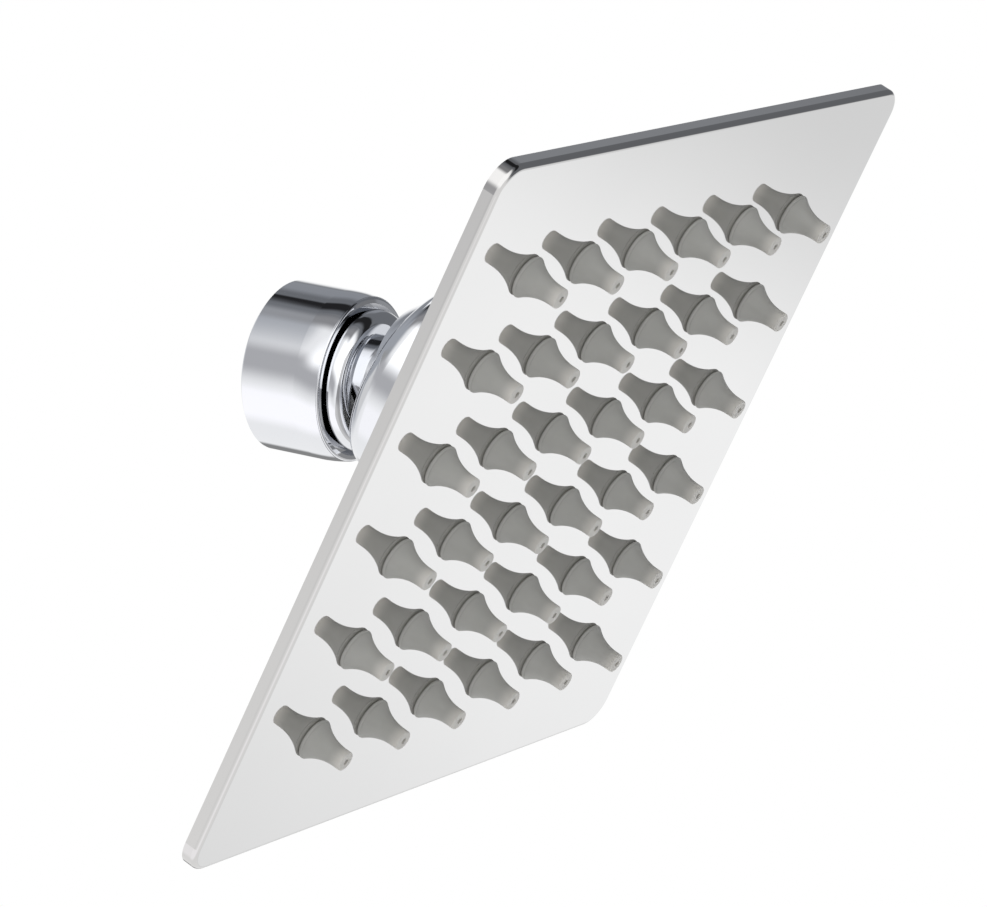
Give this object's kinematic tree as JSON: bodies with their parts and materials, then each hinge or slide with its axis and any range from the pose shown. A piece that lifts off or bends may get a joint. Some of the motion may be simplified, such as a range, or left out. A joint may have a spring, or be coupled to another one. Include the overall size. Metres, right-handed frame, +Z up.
{
  "type": "shower head",
  "caption": "Thin square shower head with a polished steel plate, a grid of soft silicone nozzles and a ball-jointed inlet nut with a female thread.",
  "frame": {"origin": "centre of the inlet mouth, on the nut's end face", "axes": "+Z up, square to the plate, with the nozzles facing -Z; X along the plate's side and the ball joint's tilt axis; the inlet leans 22 degrees from +Z towards +Y"},
  "size_m": [0.12, 0.12, 0.0599],
  "materials": {
    "chrome_brass": "bright chrome plate on turned brass",
    "polished_steel": "mirror-polished stainless sheet",
    "silicone": "matt grey silicone, slightly translucent at the tip",
    "rubber_black": "smooth black rubber",
    "acetal_white": "moulded white acetal",
    "brass_plain": "machined brass",
    "screen_steel": "plain steel screen"
  },
  "bodies": {
    "inlet": {"ball_nut": "chrome_brass", "inlet_washer": "rubber_black", "filter_screen": "screen_steel", "flow_restrictor": "acetal_white", "restrictor_seal": "rubber_black"},
    "ball_wiper": {"ball_seal": "rubber_black"},
    "seat": {"seat_ring": "acetal_white"},
    "head": {"swivel_collar": "chrome_brass", "socket_base": "brass_plain", "base_gasket": "rubber_black", "lock_nut": "brass_plain", "back_plate": "polished_steel", "face_plate": "polished_steel", "nozzle_1_1": "silicone", "nozzle_1_2": "silicone", "nozzle_1_3": "silicone", "nozzle_1_4": "silicone", "nozzle_1_5": "silicone", "nozzle_1_6": "silicone", "nozzle_2_1": "silicone", "nozzle_2_2": "silicone", "nozzle_2_3": "silicone", "nozzle_2_4": "silicone", "nozzle_2_5": "silicone", "nozzle_2_6": "silicone", "nozzle_3_1": "silicone", "nozzle_3_2": "silicone", "nozzle_3_3": "silicone", "nozzle_3_4": "silicone", "nozzle_3_5": "silicone", "nozzle_3_6": "silicone", "nozzle_4_1": "silicone", "nozzle_4_2": "silicone", "nozzle_4_3": "silicone", "nozzle_4_4": "silicone", "nozzle_4_5": "silicone", "nozzle_4_6": "silicone", "nozzle_5_1": "silicone", "nozzle_5_2": "silicone", "nozzle_5_3": "silicone", "nozzle_5_4": "silicone", "nozzle_5_5": "silicone", "nozzle_5_6": "silicone", "nozzle_6_1": "silicone", "nozzle_6_2": "silicone", "nozzle_6_3": "silicone", "nozzle_6_4": "silicone", "nozzle_6_5": "silicone", "nozzle_6_6": "silicone"}
  },
  "joints": [
    {"name": "inlet_swivel", "type": "hinge", "parent": "inlet", "child": "ball_wiper", "pos_m": [0, -0.0112, -0.02772], "axis": [0, 0.3746, 0.9272], "continuous": true},
    {"name": "tilt", "type": "hinge", "parent": "ball_wiper", "child": "seat", "pos_m": [0, -0.0112, -0.02772], "axis": [-1, 0, 0], "range_deg": [0, 44]},
    {"name": "head_spin", "type": "hinge", "parent": "seat", "child": "head", "pos_m": [0, -0.0112, -0.02772], "axis": [0, 0, 1], "continuous": true}
  ]
}
